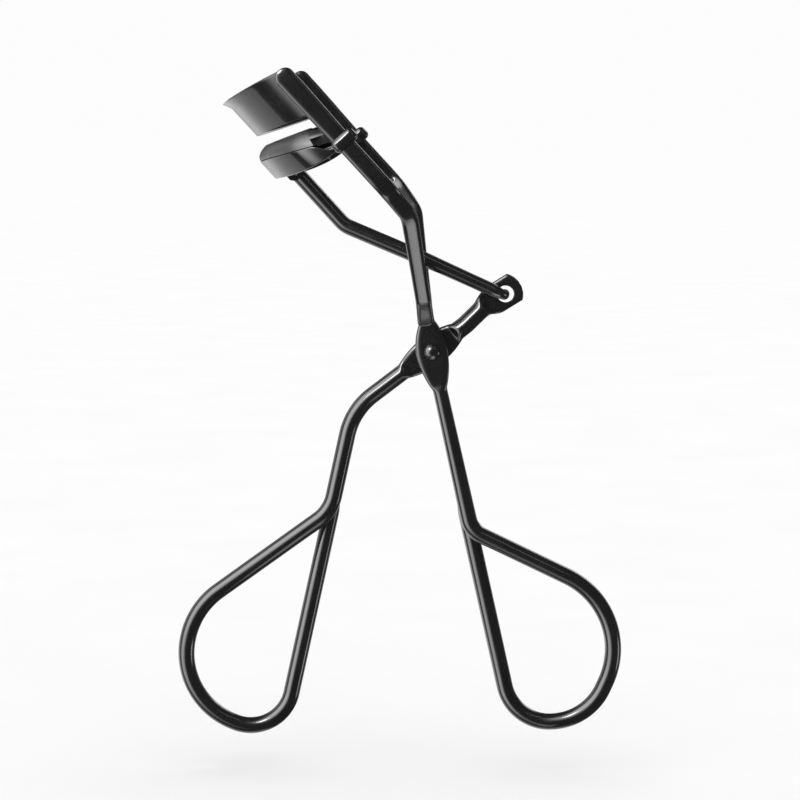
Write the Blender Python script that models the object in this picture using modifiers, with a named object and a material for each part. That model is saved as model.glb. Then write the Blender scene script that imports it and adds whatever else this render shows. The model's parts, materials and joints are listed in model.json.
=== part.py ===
"""Eyelash curler: a fixed frame and a lever crossed on a rivet, with a pad jaw that slides on two rails.

Units are millimetres in the constants and metres in the scene. +Z is up with the finger loops below,
+Y is away from the front, and the front is the side on which the rivet's domed head lies. The world
origin is the centre of the whole tool's bounding box.

Three frames are used, each an empty that the pieces are parented to:
  pivot frame  X right, Y back, Z up, from the rivet's axis
  rail frame   X out to the bulge of the jaws, Y to the front, Z up along the rails
  link frame   the pivot frame moved to the pin under the pad jaw
"""

import math

import bmesh
import bpy
from mathutils import Matrix, Quaternion, Vector

MM = 0.001

# Places of the joints, pivot frame.
PIVOT_IN_WORLD = Vector((5.31, 0.0, 8.79))
RAIL_LEAN = math.radians(42.55)
RAIL_OFFSET = 12.75
EYE = Vector((11.5, 1.3, 9.0))
LINK_PIN = Vector((9.5, 0.0, 35.5))

# Stack along the rivet: frame boss, spacer, lever boss, back washer.
BOSS_THICKNESS = 1.8
BOSS_WIDTH = 5.0
FRAME_BOSS_Y = -1.3
LEVER_BOSS_Y = 1.3
RIVET_RADIUS = 0.95
RIVET_BORE = 1.02
RIVET_HEAD_RADIUS = 1.35
RIVET_HEAD_HEIGHT = 0.8
STACK_GAP = 0.06

# Wire and strip stock.
LOOP_WIRE = 2.6
LEVER_STEM_WIRE = 2.65
LEVER_ARM_WIRE = 2.95
FRAME_STEM_WIRE = 2.3
WIRE_SIDES = 16
RAIL_TOP_WIDTH = 3.2
RAIL_WIDTH = 2.75
RAIL_FOOT_WIDTH = 2.45
RAIL_THICKNESS = 1.4
RAIL_Y = 16.4
RAIL_TOP = 47.85
RAIL_STRAIGHT_FROM = 23.3
KNEE = (-3.3, 11.0, 21.75)

# Jaws, rail frame: the tilt of their meeting line and the arcs seen along the rails.
JAW_TILT = 0.42
PLATE_RADIUS = 17.2
PLATE_CENTRE = -7.0
PLATE_THICKNESS = 0.9
PLATE_END_Y = 15.6
HOLDER_RADIUS = 19.2
HOLDER_CENTRE = -6.65
HOLDER_WALL = 0.6
HOLDER_INNER_RADIUS = 14.7
HOLDER_END_Y = 14.95
HOLDER_END_ANGLE = math.radians(67)
PAD_HEAD_END_ANGLE = math.radians(61)
PAD_STEM_END_ANGLE = math.radians(48)
FLOOR_TILT = 0.475
FLOOR_THICKNESS = 0.7
FIT_GAP = 0.08

# Collars that slide on the rails.
COLLAR_SIZE = (4.2, 2.7, 2.2)
COLLAR_SHIFT = -0.25
COLLAR_BOTTOM = 32.2
COLLAR_HOLE = (3.12, 1.62)

# Link rod and its hinge.
LINK_RADIUS = 1.22
HOOK_RADIUS = 0.7
EYE_HOLE_RADIUS = 1.35
KNUCKLE_RADIUS = 1.1
KNUCKLE_WIDTH = 2.5
PIN_RADIUS = 0.6
EAR_THICKNESS = 0.6

ARC_STEP = math.radians(7.5)


def smoothstep(low, high, value):
    """0 below low, 1 above high, and an S-curve between them."""
    t = min(max((value - low) / (high - low), 0.0), 1.0)
    return t * t * (3.0 - 2.0 * t)


def mix(a, b, share):
    return a + (b - a) * share


def clear_scene():
    for old in list(bpy.data.objects):
        bpy.data.objects.remove(old, do_unlink=True)


def make_collection(name):
    collection = bpy.data.collections.new(name)
    bpy.context.scene.collection.children.link(collection)
    return collection


def make_material(name, color, roughness, coat):
    material = bpy.data.materials.new(name)
    material.use_nodes = True
    shader = material.node_tree.nodes["Principled BSDF"]
    shader.inputs["Base Color"].default_value = (*color, 1.0)
    shader.inputs["Roughness"].default_value = roughness
    shader.inputs["Metallic"].default_value = 0.0
    shader.inputs["Coat Weight"].default_value = coat
    material.diffuse_color = (*color, 1.0)
    return material


def make_empty(name, parent=None, location=(0, 0, 0), rotation=None):
    empty = bpy.data.objects.new(name, None)
    empty.empty_display_size = 5 * MM
    PARTS.objects.link(empty)
    empty.parent = parent
    empty.location = Vector(location) * MM
    if rotation is not None:
        empty.rotation_euler = rotation.to_euler()
    return empty


def finish_mesh(name, bm, parent, material, collection=None):
    """Turn a bmesh in millimetres into a parented, smooth-shaded object."""
    bmesh.ops.recalc_face_normals(bm, faces=bm.faces)
    bmesh.ops.scale(bm, vec=(MM, MM, MM), verts=bm.verts)
    mesh = bpy.data.meshes.new(name)
    bm.to_mesh(mesh)
    bm.free()
    mesh.shade_smooth()
    mesh.set_sharp_from_angle(angle=math.radians(35))
    obj = bpy.data.objects.new(name, mesh)
    (collection or PARTS).objects.link(obj)
    obj.parent = parent
    if material:
        mesh.materials.append(material)
    else:
        obj.hide_render = True
        obj.display_type = "WIRE"
    return obj


def loft(name, rings, parent, material):
    """A closed skin through rings of equal length, with flat ends. No material makes it a cutter."""
    bm = bmesh.new()
    rows = [[bm.verts.new(point) for point in ring] for ring in rings]
    count = len(rows[0])
    for first, second in zip(rows, rows[1:]):
        for i in range(count):
            j = (i + 1) % count
            bm.faces.new((first[i], first[j], second[j], second[i]))
    bm.faces.new(rows[0])
    bm.faces.new(rows[-1])
    return finish_mesh(name, bm, parent, material, PARTS if material else CUTTERS)


def cylinder(name, centre, axis, radius, length, parent, material=None, sides=48):
    """A cylinder about a point. No material makes it a cutter."""
    bm = bmesh.new()
    bmesh.ops.create_cone(
        bm, cap_ends=True, segments=sides, radius1=radius, radius2=radius, depth=length
    )
    turn = Vector((0, 0, 1)).rotation_difference(Vector(axis)).to_matrix().to_4x4()
    bmesh.ops.transform(bm, matrix=Matrix.Translation(centre) @ turn, verts=bm.verts)
    return finish_mesh(name, bm, parent, material, PARTS if material else CUTTERS)


def block(name, centre, size, parent, material=None, edge=0.0):
    """A box about a point, with its upright edges rounded if asked. No material makes it a cutter."""
    bm = bmesh.new()
    bmesh.ops.create_cube(bm, size=1.0)
    bmesh.ops.scale(bm, vec=size, verts=bm.verts)
    if edge:
        bmesh.ops.bevel(
            bm, geom=bm.edges[:], offset=edge, segments=3, profile=0.5, affect="EDGES"
        )
    bmesh.ops.translate(bm, vec=centre, verts=bm.verts)
    return finish_mesh(name, bm, parent, material, PARTS if material else CUTTERS)


def boolean(obj, other, operation):
    modifier = obj.modifiers.new(f"{operation.title()} {other.name}", "BOOLEAN")
    modifier.operation = operation
    modifier.object = other
    modifier.solver = "EXACT"


def round_corners(corners):
    """The points of a bent wire. Each corner is (x, y, z, inside bend radius); the ends have no radius."""
    points = [Vector(corners[0][:3])]
    for before, corner, after in zip(corners, corners[1:], corners[2:]):
        middle = Vector(corner[:3])
        back = (Vector(before[:3]) - middle).normalized()
        ahead = (Vector(after[:3]) - middle).normalized()
        half = back.angle(ahead) / 2
        reach = corner[3] / math.tan(half)
        start = middle + back * reach
        end = middle + ahead * reach
        centre = middle + (back + ahead).normalized() * corner[3] / math.sin(half)
        turned = math.pi - 2 * half
        axis = (start - centre).cross(end - centre)
        count = max(2, math.ceil(turned / ARC_STEP))
        for i in range(count + 1):
            points.append(centre + Quaternion(axis, turned * i / count) @ (start - centre))
    points.append(Vector(corners[-1][:3]))
    return points


def stations(path, forged):
    """(distance, point, tangent) along a path: at its own points, and at each forged (low, high, step)."""
    marks = [0.0]
    for a, b in zip(path, path[1:]):
        marks.append(marks[-1] + (b - a).length)
    wanted = set(marks)
    for low, high, step in forged:
        count = math.ceil((high - low) / step)
        wanted.update(mix(low, high, i / count) for i in range(count + 1))
    merged = []
    for distance in sorted(d for d in wanted if 0 <= d <= marks[-1]):
        if not merged or distance - merged[-1] > 0.12:
            merged.append(distance)
    merged[-1] = marks[-1]

    def point_at(distance):
        for a, b, low, high in zip(path, path[1:], marks, marks[1:]):
            if distance <= high:
                return a.lerp(b, (distance - low) / (high - low))
        return path[-1]

    found = []
    for distance in merged:
        ahead = point_at(min(distance + 0.25, marks[-1]))
        behind = point_at(max(distance - 0.25, 0.0))
        found.append((distance, point_at(distance), (ahead - behind).normalized()))
    return found


def section(point, tangent, width, thickness, squareness):
    """A rounded section across a wire: an ellipse at squareness 2, a flat strip with round edges above."""
    side = Vector((0, 1, 0)).cross(tangent).normalized()
    up = side.cross(tangent).normalized()
    ring = []
    for i in range(WIRE_SIDES):
        angle = 2 * math.pi * (i + 0.5) / WIRE_SIDES
        across = math.copysign(abs(math.cos(angle)) ** (2 / squareness), math.cos(angle))
        through = math.copysign(abs(math.sin(angle)) ** (2 / squareness), math.sin(angle))
        ring.append(point + side * across * width / 2 + up * through * thickness / 2)
    return ring


def forged_wire(name, path, size_at, forged, parent, material, round_ends=(0.0, 0.0)):
    """A wire along a path whose section changes as size_at(distance) = (width, thickness, squareness)."""
    length = sum((b - a).length for a, b in zip(path, path[1:]))
    ends = [(0.0, round_ends[0], 0.2), (length - round_ends[1], length, 0.2)]
    rows = []
    for distance, point, tangent in stations(path, forged + [e for e in ends if e[0] < e[1]]):
        width, thickness, squareness = size_at(distance)
        for radius, gap in zip(round_ends, (distance, length - distance)):
            if radius and gap < radius:
                shrink = max(math.sqrt(1 - (1 - gap / radius) ** 2), 0.12)
                width *= shrink
                thickness *= shrink
        rows.append(section(point, tangent, width, thickness, squareness))
    return loft(name, rows, parent, material)


def boss_section(along, wire, reach=4.9):
    """(width, thickness, squareness) of a wire forged into a flat lens around the rivet."""
    lens = BOSS_WIDTH - (BOSS_WIDTH - wire) * (along / reach) ** 2
    flat = 1.0 - smoothstep(reach - 1.0, reach + 0.5, abs(along))
    return max(wire, lens), mix(wire, BOSS_THICKNESS, flat), mix(2.0, 5.0, flat)


def braze(name, centre, direction, parent):
    """The bead that joins a loop's end to its own stem, as a cutter-side solid for a union."""
    bm = bmesh.new()
    bmesh.ops.create_uvsphere(bm, u_segments=16, v_segments=10, radius=1.0)
    bmesh.ops.scale(bm, vec=(0.85, 1.0, 2.3), verts=bm.verts)
    turn = Vector((0, 0, 1)).rotation_difference(Vector(direction)).to_matrix().to_4x4()
    bmesh.ops.transform(bm, matrix=Matrix.Translation(centre) @ turn, verts=bm.verts)
    return finish_mesh(name, bm, parent, None, CUTTERS)


def build_frame_handle():
    """Stub, boss, stem and right finger loop in one wire; the rails are brazed to the stub."""
    stem_y = FRAME_BOSS_Y
    path = round_corners([
        (-1.2, stem_y, 7.2, 0),
        (-0.04, stem_y, -0.3, 12.0),
        (6.22, stem_y, -28.45, 4.0),
        (32.86, stem_y, -41.18, 13.0),
        (25.0, stem_y + 0.3, -58.7, 9.4),
        (13.0, stem_y + 0.9, -59.9, 7.2),
        (5.5, stem_y + 2.85, -26.6, 0),
    ])
    boss_at = 7.26

    def size_at(distance):
        along = distance - boss_at
        if along < 0:
            width, thickness, squareness = boss_section(along, 2.35)
            stub = smoothstep(4.4, 5.2, -along)
            return width, mix(thickness, 1.5, stub), mix(squareness, 4.0, stub)
        wire = mix(FRAME_STEM_WIRE, LOOP_WIRE, smoothstep(6, 26, along))
        return boss_section(along, wire, reach=6.1)

    handle = forged_wire(
        "frame_handle", path, size_at, [(0, 14, 0.55)], PIVOT, BLACK_PAINT, round_ends=(0, 1.2)
    )
    bead = braze("frame_braze", (6.0, stem_y + 1.4, -28.0), (0.2, 0.05, -1), PIVOT)
    bore = cylinder("frame_bore", (0, stem_y, 0), (0, 1, 0), RIVET_BORE, 8, PIVOT)
    boolean(handle, bead, "UNION")
    boolean(handle, bore, "DIFFERENCE")


def build_lever_handle():
    """Eye, short arm, boss, stem and left finger loop in one wire."""
    arm = Vector((EYE.x, 0, EYE.z)).normalized()
    across = Vector((-arm.z, 0, arm.x))
    eye_distance = Vector((EYE.x, 0, EYE.z)).length
    tip = 17.4
    end = arm * tip - across * 0.12
    neck = arm * 11.2 + across * 0.55
    waist = arm * 6.5
    path = round_corners([
        (end.x, LEVER_BOSS_Y, end.z, 0),
        (neck.x, LEVER_BOSS_Y, neck.z, 5.0),
        (waist.x, LEVER_BOSS_Y, waist.z, 8.0),
        (-12.75, LEVER_BOSS_Y, -9.6, 10.7),
        (-16.2, -0.3, -25.6, 6.4),
        (-38.05, -0.3, -41.4, 12.5),
        (-41.35, -0.1, -56.2, 11.9),
        (-24.3, 0.5, -62.9, 6.7),
        (-15.95, 2.75, -25.95, 0),
    ])
    plate_half = 2.42
    tip_radius = 3.4
    tip_centre = eye_distance + 2.85 - tip_radius

    def size_at(distance):
        along = tip - distance
        if along < 7.5:
            stem = mix(LEVER_STEM_WIRE, LOOP_WIRE, smoothstep(24, 44, -along))
            wire = mix(stem, LEVER_ARM_WIRE, smoothstep(-2, 2, along))
            return boss_section(along, wire, reach=mix(5.8, 4.9, smoothstep(-2, 2, along)))
        flat = smoothstep(10.1, 11.7, along)
        half = mix(LEVER_ARM_WIRE / 2, plate_half, smoothstep(9.5, 13.0, along))
        rounding = tip_radius**2 - max(along - tip_centre, 0.0) ** 2
        half = min(half, math.sqrt(max(rounding, 0.25)))
        return 2 * half, mix(LEVER_ARM_WIRE, 1.5, flat), mix(2.0, 6.0, flat)

    handle = forged_wire(
        "lever_handle", path, size_at, [(0, 24, 0.55)], LEVER, BLACK_PAINT, round_ends=(0, 1.2)
    )
    bead = braze("lever_braze", (-16.3, 1.2, -27.6), (-0.2, 0.05, -1), LEVER)
    bore = cylinder("lever_bore", (0, LEVER_BOSS_Y, 0), (0, 1, 0), RIVET_BORE, 8, LEVER)
    hole = cylinder("eye_hole", EYE, (0, 1, 0), EYE_HOLE_RADIUS, 6, LEVER)
    boolean(handle, bead, "UNION")
    boolean(handle, bore, "DIFFERENCE")
    boolean(handle, hole, "DIFFERENCE")


def build_guide_rail(name, side, foot_y):
    """A flattened wire: straight rail, knee, and a leg that leans in to the frame's stub."""
    top = RAIL_ORIGIN + RAIL_AXIS * RAIL_TOP
    bend = RAIL_ORIGIN + RAIL_AXIS * RAIL_STRAIGHT_FROM
    path = round_corners([
        (top.x, side * RAIL_Y, top.z, 0),
        (bend.x, side * RAIL_Y, bend.z, 5.0),
        (KNEE[0], side * KNEE[1], KNEE[2], 5.5),
        (-1.35, foot_y, 8.0, 3.0),
        (-1.02, foot_y, 4.9, 0),
    ])

    def size_at(distance):
        straight = mix(RAIL_TOP_WIDTH, RAIL_WIDTH, smoothstep(3, 17, distance))
        return mix(straight, RAIL_FOOT_WIDTH, smoothstep(26, 46, distance)), RAIL_THICKNESS, 4.2

    forged_wire(name, path, size_at, [], PIVOT, BLACK_PAINT, round_ends=(1.45, 0.5))


def rivet_profile():
    """Half outline of the rivet from its domed head to its clinched tail, as (radius, y)."""
    head_face = FRAME_BOSS_Y - BOSS_THICKNESS / 2 - STACK_GAP
    tail_face = LEVER_BOSS_Y + BOSS_THICKNESS / 2 + 0.4 + 2 * STACK_GAP
    dome = [
        (
            RIVET_HEAD_RADIUS * math.sin(math.radians(angle)),
            head_face - 0.12 - (RIVET_HEAD_HEIGHT - 0.12) * math.cos(math.radians(angle)),
        )
        for angle in range(0, 91, 15)
    ]
    return dome + [
        (RIVET_HEAD_RADIUS, head_face),
        (RIVET_RADIUS, head_face),
        (RIVET_RADIUS, tail_face),
        (RIVET_HEAD_RADIUS, tail_face),
        (RIVET_HEAD_RADIUS, tail_face + 0.25),
        (RIVET_HEAD_RADIUS - 0.25, tail_face + 0.5),
        (0.0, tail_face + 0.5),
    ]


def build_rivet():
    """The profile is turned about the rivet's own axis, which lies along Y."""
    mesh = bpy.data.meshes.new("pivot_rivet")
    points = [(radius * MM, 0, -y * MM) for radius, y in rivet_profile()]
    mesh.from_pydata(points, [(i, i + 1) for i in range(len(points) - 1)], [])
    mesh.materials.append(BLACK_PAINT)
    rivet = bpy.data.objects.new("pivot_rivet", mesh)
    PARTS.objects.link(rivet)
    rivet.parent = PIVOT
    rivet.rotation_euler = (math.pi / 2, 0, 0)
    screw = rivet.modifiers.new("Turned profile", "SCREW")
    screw.axis = "Z"
    screw.steps = 32
    screw.render_steps = 32
    screw.use_merge_vertices = True
    screw.merge_threshold = 0.00001
    screw.use_normal_calculate = True
    screw.use_smooth_shade = True


def build_washer(name, radius, thickness, y, parent):
    washer = cylinder(
        name, (0, y, 0), (0, 1, 0), radius, thickness, parent, BLACK_PAINT, sides=36
    )
    bore = cylinder(f"{name}_bore", (0, y, 0), (0, 1, 0), RIVET_BORE, 2, parent, sides=36)
    boolean(washer, bore, "DIFFERENCE")


def plate_plan():
    """Points and outward normals of the upper jaw's outer face, seen along the rails."""
    fillet = 3.0
    inner = PLATE_RADIUS - fillet
    rise = PLATE_END_Y - fillet
    fillet_centre = PLATE_CENTRE + math.sqrt(inner**2 - rise**2)
    joint = math.atan2(rise, fillet_centre - PLATE_CENTRE)
    half = []
    for i in range(15):
        angle = joint * i / 14
        normal = Vector((math.cos(angle), math.sin(angle), 0))
        half.append((Vector((PLATE_CENTRE, 0, 0)) + normal * PLATE_RADIUS, normal))
    for i in range(1, 5):
        angle = mix(joint, math.pi / 2, i / 4)
        normal = Vector((math.cos(angle), math.sin(angle), 0))
        half.append((Vector((fillet_centre, rise, 0)) + normal * fillet, normal))
    mirrored = [
        (Vector((p.x, -p.y, 0)), Vector((n.x, -n.y, 0))) for p, n in reversed(half[1:])
    ]
    return mirrored + half


def build_upper_jaw_plate():
    """A curved wall between the rails' tops, with a small flared lip along its upper edge."""
    rings = []
    for point, normal in plate_plan():
        bottom = 39.25 + JAW_TILT * point.x
        top = 47.7 + 0.30 * point.x
        flare = 0.65 * (1.0 - smoothstep(7.0, PLATE_END_Y, abs(point.y)))
        inside = -PLATE_THICKNESS
        outline = [
            (-0.28, bottom),
            (0.0, bottom + 0.28),
            (0.0, top - 1.6),
            (flare * 0.2, top - 0.95),
            (flare * 0.6, top - 0.4),
            (flare, top - 0.05),
            (flare - 0.2, top + 0.1),
            (flare - 0.62, top - 0.1),
            (flare * 0.3 - 0.85, top - 0.75),
            (inside, top - 1.6),
            (inside, bottom + 0.28),
            (inside + 0.28, bottom),
        ]
        rings.append([
            point + normal * out + Vector((0, 0, height)) for out, height in outline
        ])
    loft("upper_jaw_plate", rings, RAILS, BLACK_PAINT)


def holder_outer(angle):
    """Distance from the arc's centre to the holder's outer face: round, then flat beside the rails."""
    beside_rail = HOLDER_END_Y / max(math.sin(abs(angle)), 0.01)
    sharpness = 24
    total = HOLDER_RADIUS**-sharpness + beside_rail**-sharpness
    return total ** (-1 / sharpness)


def at_angle(angle, radius, height_of):
    """A point on a spoke of the lower jaw's arc, at a height that depends on how far it bulges."""
    bulge = HOLDER_CENTRE + radius * math.cos(angle)
    return Vector((bulge, radius * math.sin(angle), height_of(bulge)))


def skirt_height(bulge):
    return 32.97 - 0.05 * bulge + 0.0277 * bulge**2


def floor_height(bulge):
    return 32.5 + FLOOR_TILT * bulge


def rim_height(bulge):
    full = 33.9 + 0.515 * bulge
    notched = full - 1.15 * (1.0 - smoothstep(2.4, 4.4, bulge))
    return max(notched, skirt_height(bulge) + 0.75)


def pad_top(bulge):
    return 37.3 + JAW_TILT * bulge


def soften(ring, cut):
    """Each corner of a ring replaced by two points, for a small chamfer."""
    softened = []
    for i, corner in enumerate(ring):
        for other in (ring[i - 1], ring[(i + 1) % len(ring)]):
            edge = other - corner
            softened.append(corner + edge.normalized() * min(cut, edge.length * 0.35))
    return softened


def spokes(end_angle, step=math.radians(4.5)):
    count = 2 * math.ceil(end_angle / step)
    return [mix(-end_angle, end_angle, i / count) for i in range(count + 1)]


def build_lower_jaw_holder():
    """A curved channel: a tall outer wall with a skirt, a floor and a low inner wall."""

    def floor_top(bulge):
        return floor_height(bulge) + FLOOR_THICKNESS

    def inner_rim(bulge):
        return floor_top(bulge) + 0.75

    rings = []
    for angle in spokes(HOLDER_END_ANGLE):
        outer = holder_outer(angle)
        pocket_out = outer - HOLDER_WALL
        pocket_in = HOLDER_INNER_RADIUS + HOLDER_WALL
        outline = [
            (outer, skirt_height),
            (outer, rim_height),
            (pocket_out, rim_height),
            (pocket_out, floor_top),
            (pocket_in, floor_top),
            (pocket_in, inner_rim),
            (HOLDER_INNER_RADIUS, inner_rim),
            (HOLDER_INNER_RADIUS, floor_height),
            (pocket_out, floor_height),
            (pocket_out, skirt_height),
        ]
        ring = [at_angle(angle, radius, height) for radius, height in outline]
        rings.append(soften(ring, 0.13))
    loft("lower_jaw_holder", rings, JAW, BLACK_PAINT)


def build_silicone_pad():
    """A head that rests on the holder's outer rim, and a stem that fills its channel."""

    def under_head(bulge):
        return 33.9 + 0.515 * bulge + FIT_GAP

    def stem_foot(bulge):
        return floor_height(bulge) + FLOOR_THICKNESS + FIT_GAP

    def stem_top(bulge):
        return mix(under_head(bulge), pad_top(bulge), 0.3)

    head_rings = []
    for angle in spokes(PAD_HEAD_END_ANGLE):
        outer = holder_outer(angle) - 0.35
        inner = HOLDER_INNER_RADIUS + 0.15
        ring = [
            at_angle(angle, outer, under_head),
            at_angle(angle, outer - 0.08, lambda b: mix(under_head(b), pad_top(b), 0.15)),
            at_angle(angle, outer - 0.3, lambda b: mix(under_head(b), pad_top(b), 0.36)),
            at_angle(angle, outer - 0.7, lambda b: mix(under_head(b), pad_top(b), 0.66)),
            at_angle(angle, outer - 1.1, lambda b: mix(under_head(b), pad_top(b), 0.88)),
            at_angle(angle, outer - 1.6, pad_top),
            at_angle(angle, inner + 1.3, pad_top),
            at_angle(angle, inner + 0.6, lambda b: pad_top(b) - 0.12),
            at_angle(angle, inner + 0.12, lambda b: pad_top(b) - 0.55),
            at_angle(angle, inner, lambda b: pad_top(b) - 1.1),
            at_angle(angle, inner, under_head),
        ]
        head_rings.append(ring)
    pad = loft("silicone_pad", head_rings, JAW, SILICONE)

    stem_rings = []
    for angle in spokes(PAD_STEM_END_ANGLE):
        outer = holder_outer(angle) - HOLDER_WALL - FIT_GAP
        inner = HOLDER_INNER_RADIUS + HOLDER_WALL + FIT_GAP
        outline = [(outer, stem_foot), (outer, stem_top), (inner, stem_top), (inner, stem_foot)]
        stem_rings.append([at_angle(angle, radius, height) for radius, height in outline])
    boolean(pad, loft("pad_stem", stem_rings, JAW, None), "UNION")


def build_slide_collar(name, side):
    """A sleeve round one rail, beside the end of the pad jaw's holder."""
    middle = COLLAR_BOTTOM + COLLAR_SIZE[2] / 2
    centre = (COLLAR_SHIFT, side * RAIL_Y, middle)
    collar = block(name, centre, COLLAR_SIZE, JAW, BLACK_PAINT, edge=0.32)
    hole = block(
        f"{name}_hole", (0, side * RAIL_Y, middle), (*COLLAR_HOLE, 6), JAW
    )
    boolean(collar, hole, "DIFFERENCE")


def build_link_bracket():
    """A clevis under the pad jaw: a bridge against the floor and two ears for the link's pin."""
    ear_centre = KNUCKLE_WIDTH / 2 + 0.15 + EAR_THICKNESS / 2
    foot = 34.2

    def roof(bulge):
        return floor_height(bulge) - FIT_GAP

    def ear_ring(y):
        low, high = 7.9, 10.95
        outline = [(low + 0.7, foot), (high - 0.7, foot), (high, foot + 0.7)]
        outline += [(high, roof(high)), (low, roof(low)), (low, foot + 0.7)]
        return [Vector((bulge, y, height)) for bulge, height in outline]

    width = 2 * ear_centre + EAR_THICKNESS
    bracket = loft("link_bracket", [ear_ring(-width / 2), ear_ring(width / 2)], JAW, BLACK_PAINT)
    slot_width = 2 * ear_centre - EAR_THICKNESS
    slot_top = LINK_PIN.z + KNUCKLE_RADIUS + 0.1
    slot_height = 6.0
    slot = block(
        "bracket_slot",
        (LINK_PIN.x, 0, slot_top - slot_height / 2),
        (8, slot_width, slot_height),
        JAW,
    )
    bore = cylinder("bracket_bore", LINK_PIN, (0, 1, 0), PIN_RADIUS + 0.05, 8, JAW, sides=32)
    boolean(bracket, slot, "DIFFERENCE")
    boolean(bracket, bore, "DIFFERENCE")
    cylinder(
        "link_pin", LINK_PIN, (0, 1, 0), PIN_RADIUS, width + 0.5, JAW, BLACK_PAINT, sides=32
    )


def build_link_rod():
    """A bent rod from the knuckle under the pad jaw to the hook in the lever's eye."""
    pin = RAIL_ORIGIN + RAIL_OUT * LINK_PIN.x + RAIL_AXIS * LINK_PIN.z
    hook_x = EYE.x - 0.1
    hook_z = EYE.z - 0.1
    front = -0.75
    route = round_corners([
        (pin.x, 0, pin.z, 0),
        (-13.8, 0, 19.8, 4.0),
        (-1.5, front, 14.66, 30.0),
        (hook_x, front, hook_z, 0.95),
        (hook_x, 2.9, hook_z, 0),
    ])
    length = sum((b - a).length for a, b in zip(route, route[1:]))
    curve = bpy.data.curves.new("link_rod", "CURVE")
    curve.dimensions = "3D"
    curve.bevel_depth = LINK_RADIUS * MM
    curve.bevel_resolution = 4
    curve.use_fill_caps = True
    spline = curve.splines.new("POLY")
    spline.points.add(len(route) - 1)
    run = 0.0
    for i, point in enumerate(route):
        run += (point - route[i - 1]).length if i else 0.0
        narrow = mix(LINK_RADIUS, 1.06, smoothstep(18, length - 7, run))
        radius = mix(narrow, HOOK_RADIUS, smoothstep(length - 5.2, length - 3.4, run))
        spline.points[i].co = (*((point - pin) * MM), 1.0)
        spline.points[i].radius = radius / LINK_RADIUS
    guide = bpy.data.objects.new("link_rod_curve", curve)
    CUTTERS.objects.link(guide)
    bpy.context.view_layer.update()
    evaluated = guide.evaluated_get(bpy.context.evaluated_depsgraph_get())
    mesh = bpy.data.meshes.new_from_object(evaluated)
    bm = bmesh.new()
    bm.from_mesh(mesh)
    bmesh.ops.remove_doubles(bm, verts=bm.verts, dist=0.00001)
    bm.to_mesh(mesh)
    bm.free()
    mesh.name = "link_rod"
    mesh.materials.clear()
    mesh.materials.append(BLACK_PAINT)
    mesh.shade_smooth()
    mesh.set_sharp_from_angle(angle=math.radians(35))
    rod = bpy.data.objects.new("link_rod", mesh)
    PARTS.objects.link(rod)
    rod.parent = LINK
    bpy.data.objects.remove(guide, do_unlink=True)
    knuckle = cylinder(
        "link_knuckle", (0, 0, 0), (0, 1, 0), KNUCKLE_RADIUS, KNUCKLE_WIDTH, LINK, sides=36
    )
    bore = cylinder("knuckle_bore", (0, 0, 0), (0, 1, 0), PIN_RADIUS + 0.07, 6, LINK, sides=32)
    boolean(rod, knuckle, "UNION")
    boolean(rod, bore, "DIFFERENCE")


clear_scene()
PARTS = make_collection("eyelash_curler")
CUTTERS = make_collection("cutters")
BLACK_PAINT = make_material("black_paint", (0.012, 0.012, 0.013), 0.2, 1.0)
SILICONE = make_material("black_silicone", (0.03, 0.03, 0.031), 0.45, 0.0)

# Directions of the rail frame, as vectors of the pivot frame.
RAIL_AXIS = Vector((-math.sin(RAIL_LEAN), 0, math.cos(RAIL_LEAN)))
RAIL_OUT = Vector((-math.cos(RAIL_LEAN), 0, -math.sin(RAIL_LEAN)))
RAIL_ORIGIN = -RAIL_OUT * RAIL_OFFSET
RAIL_TURN = Matrix((RAIL_OUT, Vector((0, -1, 0)), RAIL_AXIS)).transposed()

PIVOT = make_empty("pivot", location=PIVOT_IN_WORLD)
LEVER = make_empty("lever_axis", PIVOT)
RAILS = make_empty("rail_frame", PIVOT, RAIL_ORIGIN, RAIL_TURN)
JAW = make_empty("jaw_slide", RAILS)
LINK = make_empty(
    "link_axis", PIVOT, RAIL_ORIGIN + RAIL_OUT * LINK_PIN.x + RAIL_AXIS * LINK_PIN.z
)

build_frame_handle()
build_guide_rail("front_guide_rail", -1, FRAME_BOSS_Y - 1.52)
build_guide_rail("back_guide_rail", 1, FRAME_BOSS_Y + 1.52)
build_upper_jaw_plate()
build_rivet()
build_washer("pivot_spacer", 2.1, 0.68, 0.0, PIVOT)
build_washer("rivet_washer", 1.9, 0.4, LEVER_BOSS_Y + BOSS_THICKNESS / 2 + STACK_GAP + 0.2, PIVOT)
build_lever_handle()
build_lower_jaw_holder()
build_silicone_pad()
build_slide_collar("front_slide_collar", 1)
build_slide_collar("back_slide_collar", -1)
build_link_bracket()
build_link_rod()
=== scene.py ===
"""Looks of the eyelash curler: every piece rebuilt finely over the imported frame, with paint and silicone.

Shapes are worked out in millimetres and placed in the frame's metres. The joints give the frames:
  pivot frame  X right, Y back, Z up, from the rivet's axis
  rail frame   X out to the bulge of the jaws, Y to the front, Z up along the rails
"""

import json
import math

import bmesh
import bpy
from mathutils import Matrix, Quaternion, Vector


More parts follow.
